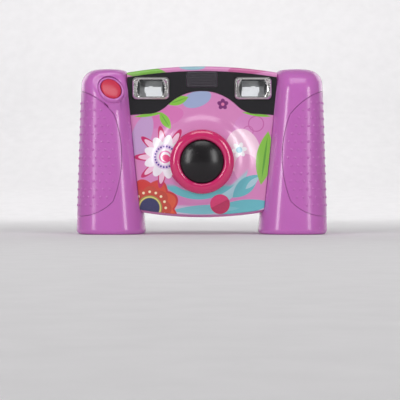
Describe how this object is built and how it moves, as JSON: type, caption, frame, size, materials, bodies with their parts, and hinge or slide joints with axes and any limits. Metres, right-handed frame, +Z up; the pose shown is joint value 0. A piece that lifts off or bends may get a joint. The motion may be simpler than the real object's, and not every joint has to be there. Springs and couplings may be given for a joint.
{
  "type": "kids digital camera",
  "caption": "Rugged child's digital camera with upright hand grips, eye hoods, a domed printed face and lens, a screen, keys, shutter button and opening battery doors.",
  "frame": {"origin": "centre of the footprint, on the surface that the two grips stand on", "axes": "+Z up, the lens looks along -Y, +X to the right as seen from the front"},
  "size_m": [0.1548, 0.066, 0.103],
  "materials": {
    "grip_plastic": "semi-gloss orchid moulding",
    "grip_pad": "soft-touch orchid rubber with raised pips",
    "shell_plastic": "gloss pink moulding",
    "printed_face": "gloss pale pink with printed flowers",
    "black_gloss": "deep gloss black",
    "ring_magenta": "gloss magenta",
    "smoked_glass": "smoked clear plastic",
    "clear_plastic": "polished clear plastic",
    "clear_bezel": "silvery clear bevelled plastic",
    "flash_lens": "ribbed tinted plastic",
    "shutter_red": "gloss red",
    "key_plastic": "satin magenta-pink",
    "black_rubber": "matt black rubber",
    "dark_plastic": "matt black moulding",
    "grey_plastic": "matt grey moulding",
    "screen_glass": "polished display window",
    "steel": "zinc-plated steel",
    "nickel": "nickelled strip",
    "aluminium": "bright reflector",
    "circuit_board": "green solder mask",
    "chip_black": "epoxy",
    "cell_wrap": "shrink sleeve"
  },
  "bodies": {
    "camera": {"left_grip_front": "grip_plastic", "left_grip_rear": "grip_plastic", "left_grip_pad": "grip_pad", "left_hinge_pin": "steel", "left_battery_tray": "dark_plastic", "left_batteries": "cell_wrap", "left_contacts": "nickel", "left_finder_bezel": "clear_bezel", "left_finder_window": "clear_plastic", "left_finder_tunnel": "dark_plastic", "left_eyepiece": "clear_plastic", "right_grip_front": "grip_plastic", "right_grip_rear": "grip_plastic", "right_grip_pad": "grip_pad", "right_hinge_pin": "steel", "right_battery_tray": "dark_plastic", "right_batteries": "cell_wrap", "right_contacts": "nickel", "right_finder_bezel": "clear_bezel", "right_finder_window": "clear_plastic", "right_finder_tunnel": "dark_plastic", "right_eyepiece": "clear_plastic", "front_shell": "shell_plastic", "rear_shell": "shell_plastic", "face_plate": "printed_face", "mask": "black_gloss", "flash_window": "flash_lens", "eyecup": "black_rubber", "lens_ring": "ring_magenta", "lens_dome": "smoked_glass", "lens_barrel": "dark_plastic", "shutter_bezel": "grip_plastic", "shutter_switch": "chip_black", "strap_lug": "shell_plastic", "case_screws": "steel", "lens_elements": "clear_plastic", "sensor_board": "circuit_board", "image_sensor": "chip_black", "main_board": "circuit_board", "sensor_board_posts": "nickel", "flash_capacitor": "cell_wrap", "flash_reflector": "aluminium", "flash_tube": "clear_plastic", "display_module": "chip_black", "display_frame": "grey_plastic", "sounder": "chip_black", "usb_socket": "nickel", "key_switches": "chip_black", "screen_bezel": "black_gloss", "screen_window": "screen_glass"},
    "shutter_button": {"shutter_button": "shutter_red"},
    "power_key": {"power_key": "key_plastic"},
    "next_key": {"next_key": "key_plastic"},
    "delete_key": {"delete_key": "key_plastic"},
    "previous_key": {"previous_key": "key_plastic"},
    "left_door": {"left_battery_door": "grip_plastic"},
    "left_screw": {"left_door_screw": "steel"},
    "right_door": {"right_battery_door": "grip_plastic"},
    "right_screw": {"right_door_screw": "steel"},
    "port_cover": {"port_cover": "black_rubber"}
  },
  "joints": [
    {"name": "shutter_press", "type": "slide", "parent": "camera", "child": "shutter_button", "axis": [-0.1403, 0.8016, -0.5812], "range_m": [0, 0.0015], "stiffness_N_per_m": 900},
    {"name": "power_press", "type": "slide", "parent": "camera", "child": "power_key", "axis": [0, -1, 0], "range_m": [0, 0.001], "stiffness_N_per_m": 900},
    {"name": "next_press", "type": "slide", "parent": "camera", "child": "next_key", "axis": [0, -1, 0], "range_m": [0, 0.001], "stiffness_N_per_m": 900},
    {"name": "delete_press", "type": "slide", "parent": "camera", "child": "delete_key", "axis": [0, -1, 0], "range_m": [0, 0.001], "stiffness_N_per_m": 900},
    {"name": "previous_press", "type": "slide", "parent": "camera", "child": "previous_key", "axis": [0, -1, 0], "range_m": [0, 0.001], "stiffness_N_per_m": 900},
    {"name": "left_door_hinge", "type": "hinge", "parent": "camera", "child": "left_door", "pos_m": [-0.05853, 0.01686, 0.0705], "axis": [1, 0, 0], "range_deg": [0, 80]},
    {"name": "left_screw_turn", "type": "hinge", "parent": "left_door", "child": "left_screw", "pos_m": [-0.05853, 0.02079, 0.0084], "axis": [0, 1, 0], "continuous": true},
    {"name": "right_door_hinge", "type": "hinge", "parent": "camera", "child": "right_door", "pos_m": [0.05853, 0.01686, 0.0705], "axis": [1, 0, 0], "range_deg": [0, 80]},
    {"name": "right_screw_turn", "type": "hinge", "parent": "right_door", "child": "right_screw", "pos_m": [0.05853, 0.02079, 0.0084], "axis": [0, 1, 0], "continuous": true},
    {"name": "port_cover_fold", "type": "hinge", "parent": "camera", "child": "port_cover", "pos_m": [0, 0.018, 0.0147], "axis": [-1, 0, 0], "range_deg": [0, 110], "stiffness_Nm_per_rad": 0.002}
  ]
}
